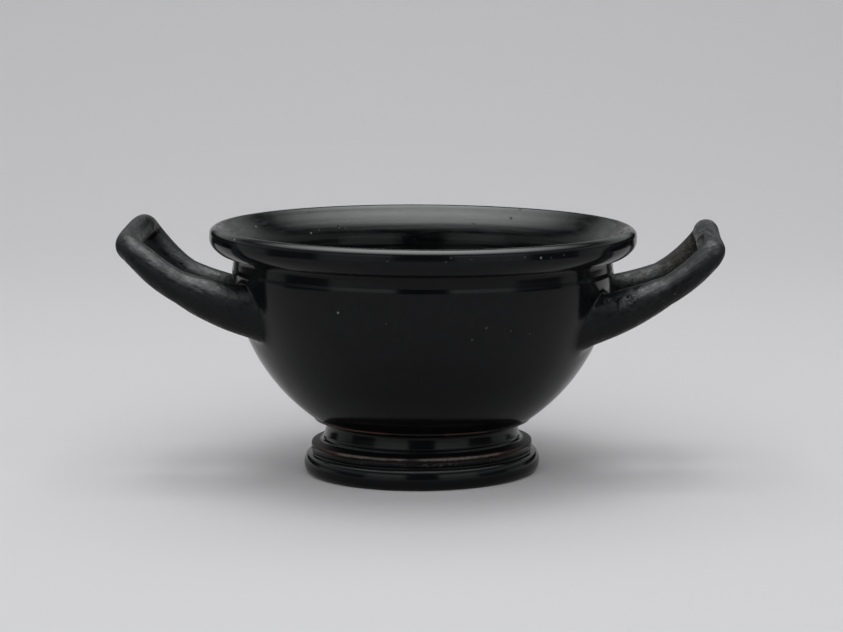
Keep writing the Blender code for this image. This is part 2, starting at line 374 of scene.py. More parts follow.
def lip_profile():
    """From the crown over the lip's face and its overhanging edge to the neck."""
    face = curve([
        (LIP_CROWN_RADIUS, LIP_TOP_Z), (60.7, 72.43), (61.3, 72.15), (61.8, 71.83), (62.15, 71.48),
        (62.36, 71.1), (62.45, 70.6), (62.5, 70.0), (LIP_BELLY_RADIUS, LIP_BELLY_Z), (62.5, 68.5),
        (62.1, 67.3), (61.15, 66.1), (60.0, 65.15), (59.2, 64.72), (58.4, 64.55), (57.2, 64.5),
        (56.35, 64.35), (55.85, 63.95), (NECK_RADIUS, 63.2),
    ], 0.42)
    neck = line((NECK_RADIUS, 63.2), (NECK_RADIUS, STEP_Z + 0.1), 0.5)
    step = line((NECK_RADIUS, STEP_Z), (STEP_RADIUS, STEP_Z - STEP_DROP), 0.2)
    return chain(face, neck, step)


def wall_profile():
    """Down the outside of the bowl to its edge above the foot."""
    top = math.degrees(math.asin((STEP_Z - STEP_DROP - BOWL_CENTRE_Z) / BOWL_OUTER_RADIUS))
    bottom = -math.degrees(math.acos(STEM_TOP_RADIUS / BOWL_OUTER_RADIUS))
    first = arc((0.0, BOWL_CENTRE_Z), (BOWL_OUTER_RADIUS,) * 2, top, top - 1.0, 0.3)
    main = arc((0.0, BOWL_CENTRE_Z), (BOWL_OUTER_RADIUS,) * 2, top - 1.0, bottom + 1.0, 1.02)
    last = arc((0.0, BOWL_CENTRE_Z), (BOWL_OUTER_RADIUS,) * 2, bottom + 1.0, bottom, 0.3)
    return chain(first, main, last)


def foot_profile():
    """The stem's scotia, the ring with its groove, the base moulding, and the hollow underneath."""
    arris = curve([
        (STEM_TOP_RADIUS, STEM_TOP_Z), (31.98, 16.0), (31.86, 15.76), (31.5, 15.62),
        (30.5, 15.45), (29.5, 15.22),
    ], 0.16)
    scotia = curve([
        (29.5, 15.22), (28.82, 15.02), (28.42, 14.74), (28.26, 14.48), (SCOTIA_RADIUS, SCOTIA_Z),
        (28.26, 13.6), (28.35, 13.0), (28.47, 12.4), (28.6, 11.8), (28.68, 11.38),
    ], 0.3)
    lines = curve([
        (28.68, 11.38), (28.76, 11.18), (28.7, 11.02), (28.8, 10.86), (29.07, 10.74), (29.17, 10.5),
        (29.32, 10.12), (29.4, 9.92), (29.75, 9.78), (30.4, 9.62), (30.9, 9.5), (31.4, 9.42),
        (32.1, 9.22), (32.42, 9.05), (RING_RADIUS, 8.8),
    ], 0.2)
    ring = curve([
        (RING_RADIUS, 8.8), (32.5, 8.55), (32.4, 8.42), (32.2, 8.3), (32.18, 8.14), (32.42, 7.98),
        (32.6, 7.86), (32.64, 7.5), (32.6, 7.1), (32.5, 6.75), (32.35, 6.5), (32.3, 6.25),
        (32.5, 6.05), (33.1, 5.95), (33.7, 5.85), (33.95, 5.68),
    ], 0.2)
    base = curve([
        (33.95, 5.68), (34.2, 5.3), (34.5, 4.5), (34.68, 3.5), (34.7, 2.6), (34.58, 1.7),
        (34.25, 0.95), (33.75, 0.38), (33.3, 0.1), (33.0, 0.0),
    ], 0.42)
    rest = curve([(33.0, 0.0), (31.3, 0.0), (29.9, 0.0), (29.3, 0.12), (28.4, 0.8), (27.6, 1.6)], 0.7)
    recess = curve([
        (27.6, 1.6), (26.6, 4.2), (25.7, 7.6), (25.25, 9.6), (24.9, 10.5), (24.3, 11.1), (23.4, 11.2),
    ], 1.0)
    start = -math.degrees(math.acos(RECESS_RADIUS / BOWL_OUTER_RADIUS))
    underside = arc((0.0, BOWL_CENTRE_Z), (BOWL_OUTER_RADIUS,) * 2, start, -90.0, 1.7)
    underside[-1] = (0.0, underside[-1][1])
    return chain(arris, scotia, lines, ring, base, rest, recess, underside)


def turned_point(radius, height, azimuth, inner):
    """Where a profile point lies at an azimuth, with the unevenness of hand turning."""
    grow = 0.0
    lift = 0.0
    if inner:
        marks = finger_rings(azimuth, height, drift=0.004, pitch=1.55, seed=3.0)
        fine = finger_rings(azimuth, height, drift=0.01, pitch=4.2, seed=9.0)
        # The marks fade out towards the floor of the bowl and at the lip.
        fade = smooth((height - 30.0) / 20.0) * smooth((71.5 - height) / 3.0)
        grow += (WHEEL_MARKS * marks + FINE_WHEEL_MARKS * fine) * fade
        grow += INNER_SWELL * wave(azimuth, height * 0.03, scale=1.1, seed=4.0) * smooth(radius / 30.0)
    elif height > STEM_TOP_Z + 1.5:
        share = smooth((height - STEM_TOP_Z - 1.5) / 8.0)
        grow += OUTER_SWELL * wave(azimuth, height * 0.035, scale=1.4, seed=1.0) * share
        grow += OUTER_WHEEL_MARKS * finger_rings(azimuth, height, drift=0.012, pitch=0.9, seed=5.0) * share
    if height > STEP_Z:
        lift += LIP_SWELL * wave(azimuth, 0.0, scale=1.3, seed=7.0) * smooth((height - STEP_Z) / 6.0)
    if height < STEM_TOP_Z + 0.5 and radius > 29.5:
        share = smooth(height / 1.5)
        lift += FOOT_SWELL * wave(azimuth, 0.0, scale=1.2, seed=12.0) * share
        lift += FOOT_RIPPLE * wave(azimuth, 0.0, scale=5.0, seed=15.0) * share
        grow += FOOT_OUT_OF_ROUND * wave(azimuth, 0.0, scale=2.0, seed=19.0) * share
    return radius + grow, max(height + lift, 0.0)


def turned_mesh():
    """The whole turned body as one closed mesh."""
    inside = inside_profile()
    outside = chain(lip_profile(), wall_profile(), foot_profile())
    profile = chain(inside, outside)
    inner_count = len(inside)
    verts = []
    rows = []
    for place, (radius, height) in enumerate(profile):
        if radius < 0.01:
            rows.append([len(verts)])
            verts.append((0.0, 0.0, height))
            continue
        row = []
        for step in range(TURN_STEPS):
            azimuth = 360.0 * step / TURN_STEPS - 180.0
            out, up = turned_point(radius, height, azimuth, place < inner_count)
            angle = math.radians(azimuth)
            row.append(len(verts))
            verts.append((out * math.sin(angle), -out * math.cos(angle), up))
        rows.append(row)
    faces = []
    for near, far in zip(rows, rows[1:]):
        for step in range(TURN_STEPS):
            after = (step + 1) % TURN_STEPS
            if len(near) == 1:
                faces.append((near[0], far[after], far[step]))
            elif len(far) == 1:
                faces.append((near[step], near[after], far[0]))
            else:
                faces.append((near[step], near[after], far[after], far[step]))
    mesh = bpy.data.meshes.new("turned_body")
    mesh.from_pydata([tuple(c * MM for c in vert) for vert in verts], [], faces)
    bm = bmesh.new()
    bm.from_mesh(mesh)
    bmesh.ops.recalc_face_normals(bm, faces=bm.faces)
    bm.to_mesh(mesh)
    bm.free()
    return mesh


def spline_point(guides, t):
    """A point on the cubic B-spline that starts at the first guide point and ends at the last (de Boor)."""
    spans = len(guides) - CURVE_DEGREE
    inner_knots = [float(knot) for knot in range(spans + 1)]
    knots = [0.0] * CURVE_DEGREE + inner_knots + [float(spans)] * CURVE_DEGREE
    place = t * spans
    span = min(int(place), spans - 1)
    points = [guides[span + offset].copy() for offset in range(CURVE_DEGREE + 1)]
    for level in range(1, CURVE_DEGREE + 1):
        for offset in range(CURVE_DEGREE, level - 1, -1):
            low = knots[span + offset]
            high = knots[span + offset + 1 + CURVE_DEGREE - level]
            points[offset] = points[offset - 1].lerp(points[offset], (place - low) / (high - low))
    return points[CURVE_DEGREE]


def section_at(sections, share):
    """The section between the listed ones: half width, half height and tip."""
    for low, high in zip(sections, sections[1:]):
        if share <= high[0]:
            u = (share - low[0]) / (high[0] - low[0])
            return [first + (second - first) * u for first, second in zip(low[1:], high[1:])]
    return sections[-1][1:]


def seat(point, direction, radius, share):
    """Slide a point by a share of its way along a direction to a sphere about the bowl's centre."""
    offset = point - Vector((0.0, 0.0, BOWL_CENTRE_Z))
    along = offset.dot(direction)
    slide = math.sqrt(along ** 2 - offset.length_squared + radius ** 2) - along
    return point + direction * slide * share


def pressed(point, centre):
    """Push a point towards the middle of its section where a hollow lies."""
    for start, end, width, depth in HOLLOWS:
        start = Vector(start)
        way = Vector(end) - start
        along = min(max((point - start).dot(way) / way.length_squared, 0.0), 1.0)
        distance = (point - start - way * along).length
        if distance < width:
            share = smooth(1 - distance / width) * depth / (point - centre).length
            point = point.lerp(centre, share)
    return point


def handle_ring(shape, guides, t):
    """The section's points at one place on the loop, slightly uneven as a rolled strip of clay is."""
    step = 0.5 / HANDLE_STATIONS
    centre = spline_point(guides, t)
    ahead = spline_point(guides, min(t + step, 1.0))
    behind = spline_point(guides, max(t - step, 0.0))
    tangent = (ahead - behind).normalized()
    from_grip = abs(2 * t - 1)
    half_width, half_height, tip = section_at(shape["sections"], from_grip)
    up = Vector((-shape["side"] * math.sin(math.radians(tip)), 0.0, math.cos(math.radians(tip))))
    across = tangent.cross(up).normalized()
    lift = across.cross(tangent)
    outwards = tangent if t < 0.5 else -tangent
    radius = (centre - Vector((0.0, 0.0, BOWL_CENTRE_Z))).length
    if from_grip == 1.0:
        radius = ROOT_SPHERE_RADIUS
    share = smooth((from_grip - ROOT_SHARE) / (1 - ROOT_SHARE))
    ring = []
    for corner in range(HANDLE_SIDES):
        angle = 2 * math.pi * corner / HANDLE_SIDES
        offset = across * half_width * math.cos(angle) + lift * half_height * math.sin(angle)
        rough = HANDLE_LUMPS * noise.noise((centre + offset) * 0.09)
        rough += HANDLE_FINE_LUMPS * noise.noise((centre + offset) * 0.3)
        point = pressed(centre + offset * (1.0 + rough * smooth((1.0 - from_grip) / LUMPS_FADE)), centre)
        ring.append(seat(point, outwards, radius, share) if share else point)
    return ring


def handle_mesh(name, shape):
    """A closed tube round the handle's loop; its ends lie inside the bowl's wall."""
    guides = []
    for guide in GUIDE_ORDER:
        out, across, height = shape[guide]
        front_or_back = -1 if guide.endswith("front") else 1
        guides.append(Vector((shape["side"] * out, front_or_back * across, height)))
    bm = bmesh.new()
    loops = []
    for station in range(HANDLE_STATIONS):
        ring = handle_ring(shape, guides, station / (HANDLE_STATIONS - 1))
        loops.append([bm.verts.new(point * MM) for point in ring])
    for near, far in zip(loops, loops[1:]):
        for corner in range(HANDLE_SIDES):
            after = (corner + 1) % HANDLE_SIDES
            bm.faces.new((near[corner], near[after], far[after], far[corner]))
    for loop in (loops[0], loops[-1]):
        middle = bm.verts.new(sum((vert.co for vert in loop), Vector()) / HANDLE_SIDES)
        for corner in range(HANDLE_SIDES):
            bm.faces.new((loop[corner], loop[(corner + 1) % HANDLE_SIDES], middle))
    bmesh.ops.recalc_face_normals(bm, faces=bm.faces)
    mesh = bpy.data.meshes.new(name)
    bm.to_mesh(mesh)
    bm.free()
    return mesh


def add_object(name, mesh):
    obj = bpy.data.objects.new(name, mesh)
    bpy.context.scene.collection.objects.link(obj)
    return obj


def fused_vessel(material):
    """Body and handles as one skin, with the handles' roots smoothed into the wall."""
    body = add_object("skyphos_vessel", turned_mesh())
    helpers = []
    body.data.materials.append(material)
    marker = bpy.data.materials.new("handle_marker")
    for name, shape in HANDLES.items():
        helper = add_object(name + "_handle_form", handle_mesh(name + "_handle_form", shape))
        helper.data.materials.append(marker)
        union = body.modifiers.new(name, "BOOLEAN")
        union.operation = "UNION"
        union.solver = "EXACT"
        union.object = helper
        union.material_mode = "TRANSFER"
        helpers.append(helper)
    depsgraph = bpy.context.evaluated_depsgraph_get()
    mesh = bpy.data.meshes.new_from_object(body.evaluated_get(depsgraph))
    body.modifiers.clear()
    body.data = mesh
    for helper in helpers:
        bpy.data.objects.remove(helper, do_unlink=True)
    fuse_roots(mesh, list(mesh.materials).index(marker))
    mesh.materials.clear()
    mesh.materials.append(material)
    bpy.data.materials.remove(marker)
    return body


def fuse_roots(mesh, handle_slot):
    """Smooth the seam between wall and handles, and keep how far each point belongs to a handle."""
    bm = bmesh.new()
    bm.from_mesh(mesh)
    bmesh.ops.triangulate(bm, faces=[face for face in bm.faces if len(face.verts) > 4])
    bmesh.ops.remove_doubles(bm, verts=bm.verts, dist=MERGE_DISTANCE)
    layer = bm.verts.layers.float.new("handle")
    share = {}
    seam = []
    for vert in bm.verts:
        slots = [face.material_index == handle_slot for face in vert.link_faces]
        share[vert] = sum(slots) / max(1, len(slots))
        if 0 < share[vert] < 1:
            seam.append(vert)
    rings = {vert: 0 for vert in seam}
    front = seam
    for ring in range(1, SEAM_RINGS + 1):
        after = []
        for vert in front:
            for edge in vert.link_edges:
                other = edge.other_vert(vert)
                if other not in rings:
                    rings[other] = ring
                    after.append(other)
        front = after
    for _ in range(SEAM_PASSES):
        moved = {}
        for vert, ring in rings.items():
            around = [edge.other_vert(vert).co for edge in vert.link_edges]
            middle = sum(around, Vector()) / len(around)
            weight = 0.5 * (1.0 - ring / (SEAM_RINGS + 1))
            moved[vert] = vert.co.lerp(middle, weight)
        for vert, place in moved.items():
            vert.co = place
    for _ in range(SHARE_PASSES):
        eased = {}
        for vert in rings:
            around = [share[edge.other_vert(vert)] for edge in vert.link_edges]
            eased[vert] = 0.5 * share[vert] + 0.5 * sum(around) / len(around)
        share.update(eased)
    for vert in bm.verts:
        vert[layer] = share[vert]
    for face in bm.faces:
        face.material_index = 0
        face.smooth = True
    bm.to_mesh(mesh)
    bm.free()


def mark_inside(mesh):
    """Keep which points face the drink: 1 inside the bowl up to the crown of the lip, 0 outside."""
    inside = mesh.attributes.new("inside", "FLOAT", "POINT")
    for vert in mesh.vertices:
        x, y, z = vert.co / MM
        if z < WALL_TOP_Z:
            past_middle = MIDDLE_OF_WALL - math.dist((x, y, z), (0.0, 0.0, BOWL_CENTRE_Z))
        else:
            past_middle = MIDDLE_OF_WALL + MIDDLE_OF_LIP_SLOPE * (z - WALL_TOP_Z) - math.hypot(x, y)
        inside.data[vert.index].value = smooth(past_middle + 0.5)


def lean(mesh):
    """Keep each point's place for the finish, then turn it by its height's share of the lean."""
    before = mesh.attributes.new("upright", "FLOAT_VECTOR", "POINT")
    for vert in mesh.vertices:
        before.data[vert.index].vector = vert.co / MM
        share = smooth((vert.co.z / MM - LEAN_START_Z) / (LEAN_FULL_Z - LEAN_START_Z))
        vert.co = Matrix.Rotation(math.radians(LEAN_DEGREES) * share, 3, "Y") @ vert.co


def calc(tree, operation, *values):
    """A maths node on sockets or plain numbers; gives back its output."""
    node = tree.nodes.new("ShaderNodeMath")
    node.operation = operation
    for socket, value in zip(node.inputs, values):
        if isinstance(value, bpy.types.NodeSocket):
            tree.links.new(value, socket)
        else:
            socket.default_value = value
    return node.outputs[0]


def total(tree, *values):
    """The sum of sockets or plain numbers."""
    added = values[0]
    for value in values[1:]:
        added = calc(tree, "ADD", added, value)
    return added


def product(tree, *values):
    """The product of sockets or plain numbers."""
    scaled = values[0]
    for value in values[1:]:
        scaled = calc(tree, "MULTIPLY", scaled, value)
    return scaled


def ease(tree, value, start, end, low=0.0, high=1.0):
    """Goes smoothly from low at start to high at end, and stays level past them."""
    node = tree.nodes.new("ShaderNodeMapRange")
    node.interpolation_type = "SMOOTHSTEP"
    names = ("Value", "From Min", "From Max", "To Min", "To Max")
    for name, given in zip(names, (value, start, end, low, high)):
        if isinstance(given, bpy.types.NodeSocket):
            tree.links.new(given, node.inputs[name])
        else:
            node.inputs[name].default_value = given
    return node.outputs["Result"]


def attribute(tree, name):
    node = tree.nodes.new("ShaderNodeAttribute")
    node.attribute_name = name
    return node


def speckle(tree, place, scale, detail=2.0, stretch=(1.0, 1.0, 1.0)):
    """Noise, about 0.25 to 0.75, over places in millimetres."""
    mapping = tree.nodes.new("ShaderNodeMapping")
    mapping.inputs["Scale"].default_value = stretch
    tree.links.new(place, mapping.inputs["Vector"])
    node = tree.nodes.new("ShaderNodeTexNoise")
    node.inputs["Scale"].default_value = scale
    node.inputs["Detail"].default_value = detail
    tree.links.new(mapping.outputs["Vector"], node.inputs["Vector"])
    return node.outputs["Fac"]


def between(tree, value, low, high, soft):
    """1 between two limits, easing to 0 over a soft edge past them."""
    return product(tree, ease(tree, value, low - soft, low), ease(tree, value, high + soft, high))


def blend(tree, colour, over, share):
    """Lay a colour over another by a share."""
    node = tree.nodes.new("ShaderNodeMix")
    node.data_type = "RGBA"
    tree.links.new(share, node.inputs["Factor"])
    for socket, given in ((node.inputs["A"], colour), (node.inputs["B"], over)):
        if isinstance(given, bpy.types.NodeSocket):
            tree.links.new(given, socket)
        else:
            socket.default_value = (*given, 1.0)
    return node.outputs["Result"]


def marks(tree, place, spots):
    """1 at small round spots, listed as azimuth, radius from the axis, height and size."""
    found = 0.0
    for azimuth, radius, height, size in spots:
        angle = math.radians(azimuth)
        node = tree.nodes.new("ShaderNodeVectorMath")
        node.operation = "DISTANCE"
        tree.links.new(place, node.inputs[0])
        node.inputs[1].default_value = (radius * math.sin(angle), -radius * math.cos(angle), height)
        found = calc(tree, "MAXIMUM", found, ease(tree, node.outputs["Value"], size, 0.55 * size))
    return found


def warped(tree, place, scale, reach):
    """Push places about by noise, to give round marks broken outlines."""
    node = tree.nodes.new("ShaderNodeTexNoise")
    node.inputs["Scale"].default_value = scale
    tree.links.new(place, node.inputs["Vector"])
    shift = tree.nodes.new("ShaderNodeVectorMath")
    shift.operation = "MULTIPLY_ADD"
    tree.links.new(node.outputs["Color"], shift.inputs[0])
    shift.inputs[1].default_value = (reach,) * 3
    tree.links.new(place, shift.inputs[2])
    back = tree.nodes.new("ShaderNodeVectorMath")
    back.operation = "SUBTRACT"
    tree.links.new(shift.outputs[0], back.inputs[0])
    back.inputs[1].default_value = (0.5 * reach,) * 3
    return back.outputs[0]


def foot_colours(tree, colour, place, radius, azimuth, height):
    """Bare clay at the bowl's edge, crust and miltos on the foot's ring, and a painted highlight on the
    base's arris.
    """
    rough = speckle(tree, place, 0.9, 3.0)
    fine = speckle(tree, place, 3.2, 2.0)
    slow = speckle(tree, place, 0.12, 2.0)

    bare_right = product(tree, between(tree, azimuth, *BARE_EDGE_RIGHT, 4.0), 0.7)
    clay = product(
        tree,
        between(tree, height, *BOWL_EDGE, 0.12),
        ease(tree, radius, 31.3, 31.6),
        total(tree, between(tree, azimuth, *BARE_EDGE_LEFT, 8.0), bare_right, 0.12),
        ease(tree, fine, 0.25, 0.5, 0.5, 1.0),
    )
    colour = blend(tree, colour, CLAY, clay)

    crust_left = between(tree, azimuth, *CRUST_LEFT, 6.0)
    crust_right = between(tree, azimuth, *CRUST_RIGHT, 6.0)
    crust_start = total(tree, CRUST_START_Z, product(tree, ease(tree, rough, 0.3, 0.7), 0.25))
    above_start = total(tree, height, product(tree, crust_start, -1.0))
    crust = product(
        tree,
        ease(tree, above_start, -0.1, 0.12),
        ease(tree, height, 9.3, 9.05),
        ease(tree, radius, 31.6, 32.0),
        ease(tree, fine, 0.25, 0.55, 0.35, 1.0),
        ease(tree, slow, 0.25, 0.5, 0.3, 1.0),
        total(tree, crust_left, crust_right, 0.2),
    )
    pinker = product(tree, between(tree, azimuth, *PINK_CRUST_WAY, 3.0), 0.6)
    redder = total(
        tree,
        between(tree, azimuth, *RED_RIGHT, 8.0),
        between(tree, azimuth, *RED_LEFT, 8.0),
    )
    tint = blend(tree, blend(tree, CRUST, PINK_CRUST, pinker), MILTOS, redder)
    colour = blend(tree, colour, tint, crust)

    grit = product(
        tree,
        between(tree, azimuth, *GRIT_WAY, 3.0),
        between(tree, height, *GRIT_BAND, 0.15),
        ease(tree, radius, 31.2, 31.9),
        ease(tree, fine, 0.5, 0.6),
        ease(tree, rough, 0.4, 0.55),
    )
    colour = blend(tree, colour, GRIT, grit)

    wash = product(
        tree,
        between(tree, height, *WASH_BAND, 0.15),
        ease(tree, radius, 31.0, 31.8),
        ease(tree, rough, 0.3, 0.5),
        total(tree, 0.4, redder),
    )
    colour = blend(tree, colour, WASH, wash)

    smear = product(
        tree,
        between(tree, height, *SMEAR_BAND, 0.3),
        ease(tree, radius, 32.2, 32.5),
        ease(tree, rough, 0.45, 0.62),
        ease(tree, slow, 0.45, 0.6),
        0.5,
    )
    colour = blend(tree, colour, DUST, smear)

    # A painted highlight: a light line along the front of the base's arris.
    arris = product(
        tree,
        between(tree, height, *ARRIS_GLINT_BAND, 0.12),
        ease(tree, radius, 33.5, 33.7),
        between(tree, azimuth, *ARRIS_GLINT_WAY, 8.0),
        ease(tree, slow, 0.3, 0.5, 0.5, 1.0),
    )
    return blend(tree, colour, WEAR_AND_EDGE_GLINT, arris)


def streaks_along(tree, place, x, y, height, on_arm):
    """Streaks that run up the arms of the handles, and from front to back over the grips."""
    outwards = calc(tree, "ABSOLUTE", x)
    along = total(tree, product(tree, outwards, ARM_COS), product(tree, height, ARM_SIN))
    across = total(tree, product(tree, height, ARM_COS), product(tree, outwards, -ARM_SIN))
    arm_place = tree.nodes.new("ShaderNodeCombineXYZ")
    for socket, value in zip(arm_place.inputs, (along, across, y)):
        tree.links.new(value, socket)
    arm_streaks = speckle(tree, arm_place.outputs[0], 1.0, 3.0, (0.16, 1.1, 0.9))
    grip_streaks = speckle(tree, place, 1.0, 3.0, (0.7, 0.14, 0.7))
    return total(
        tree,
        product(tree, arm_streaks, on_arm),
        product(tree, grip_streaks, ease(tree, on_arm, 1.0, 0.0)),
    )


def black_gloss():
    """Fired black slip, a little mottled and worn, with dust in its pits, clay showing at the foot, painted
    shade inside the bowl and a painted highlight on the base's arris.
    """
    material = bpy.data.materials.new("black_gloss")
    material.use_nodes = True
    tree = material.node_tree
    shader = tree.nodes["Principled BSDF"]
    shader.inputs["IOR"].default_value = SLIP_IOR

    # Where a point lies: on a handle, inside, and its place before the lean, in millimetres.
    handle = ease(tree, attribute(tree, "handle").outputs["Fac"], 0.2, 1.0)
    inside = ease(tree, attribute(tree, "inside").outputs["Fac"], 0.3, 1.0)
    place = attribute(tree, "upright").outputs["Vector"]
    split = tree.nodes.new("ShaderNodeSeparateXYZ")
    tree.links.new(place, split.inputs[0])
    x, y, height = split.outputs
    radius = calc(tree, "SQRT", total(tree, product(tree, x, x), product(tree, y, y)))
    azimuth = calc(tree, "DEGREES", calc(tree, "ARCTAN2", x, calc(tree, "MULTIPLY", y, -1.0)))
    on_arm = ease(tree, calc(tree, "ABSOLUTE", y), 12.0, 18.0)
    on_grip = product(tree, handle, ease(tree, on_arm, 1.0, 0.0))
    foot_top = product(tree, between(tree, height, *FOOT_TOP_BAND, 0.3), ease(tree, radius, 29.4, 30.4))

    # Patterns, from coarse to fine.
    blotches = speckle(tree, place, 0.16, 3.0)
    patchy = speckle(tree, place, 0.35, 5.0)
    grainy = speckle(tree, place, 1.7, 3.0)
    tiny = speckle(tree, place, 3.4, 1.0)
    turned = speckle(tree, place, 1.0, 4.0, (0.03, 0.03, 1.1))
    strokes = speckle(tree, place, 1.0, 4.0, (0.14, 0.14, 0.9))
    streaks = streaks_along(tree, place, x, y, height, on_arm)

    specks = marks(tree, place, LIGHT_SPECKS)
    pits = marks(tree, place, PITS)
    rough_patch = marks(tree, warped(tree, place, 0.45, 4.0), ROUGH_PATCHES)
    dull = product(tree, marks(tree, place, DULL_PATCHES), ease(tree, patchy, 0.3, 0.5))
    earthy = marks(tree, warped(tree, place, 0.4, 5.0), EARTHY_PATCHES)

    worn = total(
        tree,
        ease(tree, patchy, 0.4, 0.7, 0.0, 0.6),
        product(tree, handle, ease(tree, streaks, 0.45, 0.7)),
        product(tree, inside, ease(tree, strokes, 0.45, 0.7)),
    )
    dusty = product(
        tree,
        ease(tree, blotches, 0.5, 0.65),
        ease(tree, tiny, 0.64, 0.72),
        total(tree, 0.12, product(tree, handle, 0.35), product(tree, inside, 0.35)),
    )
    chipped = product(tree, marks(tree, place, CHIPS), ease(tree, grainy, 0.3, 0.5))
    scuffed = product(tree, rough_patch, ease(tree, patchy, 0.52, 0.6), 0.35)
    colour = blend(tree, SLIP, WORN_SLIP, product(tree, worn, 0.7))
    # Painted shade inside the bowl.
    colour = blend(tree, colour, INNER_PAINTED_SHADE, product(tree, inside, 0.6))
    colour = blend(tree, colour, DUST, dusty)
    colour = blend(tree, colour, EARTH, product(tree, earthy, ease(tree, patchy, 0.35, 0.6)))
    colour = blend(tree, colour, EARTH_CRUMBS, product(tree, earthy, ease(tree, grainy, 0.56, 0.62)))
    colour = blend(tree, colour, FAINT_SPECK, marks(tree, place, FAINT_SPECKS))
    colour = blend(tree, colour, SPECK, specks)
    colour = blend(tree, colour, BARE, chipped)
    colour = blend(tree, colour, WEAR_AND_EDGE_GLINT, scuffed)
    colour = foot_colours(tree, colour, place, radius, azimuth, height)
    tree.links.new(colour, shader.inputs["Base Color"])

    roughness = total(
        tree,
        SLIP_ROUGHNESS,
        product(tree, handle, HANDLE_ROUGHER),
        product(tree, inside, INSIDE_ROUGHER),
        product(tree, specks, SPECK_ROUGHER),
        product(tree, rough_patch, ROUGH_PATCH_ROUGHER),
        product(tree, foot_top, FOOT_TOP_ROUGHER),
        product(tree, handle, ease(tree, streaks, 0.3, 0.7, -0.07, 0.13)),
        product(tree, handle, ease(tree, patchy, 0.35, 0.65, -0.05, 0.09)),
        product(tree, inside, ease(tree, strokes, 0.3, 0.7, -0.05, 0.12)),
        product(tree, dull, DULL_ROUGHER),
        product(tree, handle, ease(tree, grainy, 0.35, 0.65, -0.05, 0.06)),
        product(tree, earthy, EARTHY_ROUGHER),
    )
    tree.links.new(roughness, shader.inputs["Roughness"])

    patchy_relief = total(
        tree,
        PATCHY_RELIEF,
        product(tree, handle, HANDLE_PATCHY_RELIEF),
        product(tree, inside, INSIDE_PATCHY_RELIEF),
    )
    streak_relief = ease(tree, on_arm, 0.0, 1.0, GRIP_STREAK_RELIEF, ARM_STREAK_RELIEF)
    relief = total(
        tree,
        product(tree, grainy, GRAIN_RELIEF),
        product(tree, tiny, TINY_RELIEF),
        product(tree, turned, inside, TURNED_RELIEF),
        product(tree, patchy, patchy_relief),
        product(tree, streaks, handle, streak_relief),
        product(tree, blotches, handle, HANDLE_BLOTCH_RELIEF),
        product(tree, pits, PIT_RELIEF),
        product(tree, on_grip, blotches, GRIP_BLOTCH_RELIEF),
        product(tree, rough_patch, patchy, ROUGH_PATCH_RELIEF),
        product(tree, rough_patch, grainy, ROUGH_PATCH_GRAIN_RELIEF),
        product(tree, handle, grainy, HANDLE_GRAIN_RELIEF),
        product(tree, earthy, grainy, EARTHY_GRAIN_RELIEF),
    )
    bump = tree.nodes.new("ShaderNodeBump")
    bump.inputs["Strength"].default_value = 1.0
    bump.inputs["Distance"].default_value = RELIEF_STEP
    tree.links.new(relief, bump.inputs["Height"])
    tree.links.new(bump.outputs["Normal"], shader.inputs["Normal"])
    return material


def plain_material(name, colour, roughness):
    material = bpy.data.materials.new(name)
    material.use_nodes = True
    shader = material.node_tree.nodes["Principled BSDF"]
    shader.inputs["Base Color"].default_value = (*colour, 1.0)
    shader.inputs["Roughness"].default_value = roughness
    shader.inputs["Specular IOR Level"].default_value = 0.0
    return material


def add_sweep(name, colour, half_width, lift):
    """A pale floor that curves up behind into a backdrop."""
    front = -2.2
    back = 1.7
    rise = 1.2
    top = 2.4
    curve_steps = 24
    section = [(front, 0.0), (back - rise, 0.0)]
    for step in range(1, curve_steps + 1):
        angle = math.pi / 2 * step / curve_steps
        section.append((back - rise + rise * math.sin(angle), rise - rise * math.cos(angle)))
    section.append((back, top))
    verts = []
    for depth, height in section:
        verts.append((-half_width, depth, height + lift))
        verts.append((half_width, depth, height + lift))
    faces = [(2 * i, 2 * i + 1, 2 * i + 3, 2 * i + 2) for i in range(len(section) - 1)]
    mesh = bpy.data.meshes.new(name)
    mesh.from_pydata(verts, [], faces)
    mesh.shade_smooth()
    mesh.materials.append(plain_material(name, colour, FLOOR_ROUGHNESS))
    sweep = add_object(name, mesh)
    return sweep


def add_floor():
    """A wide floor for the eye, and a strip as narrow as a roll of paper that only the glaze mirrors."""
    floor = add_sweep("studio_floor", FLOOR_COLOUR, FLOOR_HALF_WIDTH, 0.0)
    floor.visible_glossy = False
    mirrored = add_sweep("mirrored_floor", MIRRORED_COLOUR, MIRRORED_HALF_WIDTH, MIRRORED_LIFT)
    mirrored.visible_camera = False
    mirrored.visible_diffuse = False
    mirrored.visible_shadow = False


def add_light(name, place, aim, size, power, in_gloss, in_diffuse):
    """A rectangular soft light that faces its aim point."""
    lamp = bpy.data.lights.new(name, "AREA")
    lamp.shape = "RECTANGLE"
    lamp.size, lamp.size_y = size
    lamp.energy = power
    obj = bpy.data.objects.new(name, lamp)
    bpy.context.scene.collection.objects.link(obj)
    obj.location = place
    direction = Vector(aim) - Vector(place)
    obj.rotation_euler = direction.to_track_quat("-Z", "Y").to_euler()
    obj.visible_glossy = in_gloss
    obj.visible_diffuse = in_diffuse
    return obj


def mirrored_lamp(tree, x, y, z, height):
    """Brightness of the light overhead, which doesn't reach low down behind."""
    cosine = total(
        tree,
        product(tree, x, LAMP_WAY.x),
        product(tree, y, LAMP_WAY.y),
        product(tree, z, LAMP_WAY.z),
    )
    away = calc(tree, "DIVIDE", calc(tree, "DEGREES", calc(tree, "ARCCOSINE", cosine)), LAMP_SPREAD)
    fall = product(tree, calc(tree, "POWER", away, LAMP_EDGE), -1.0)
    lamp = product(tree, calc(tree, "EXPONENT", fall), LAMP_PEAK)
    reach = calc(tree, "MAXIMUM", ease(tree, y, 0.3, 0.0), ease(tree, height, 30.0, 50.0))
    return product(tree, lamp, reach)


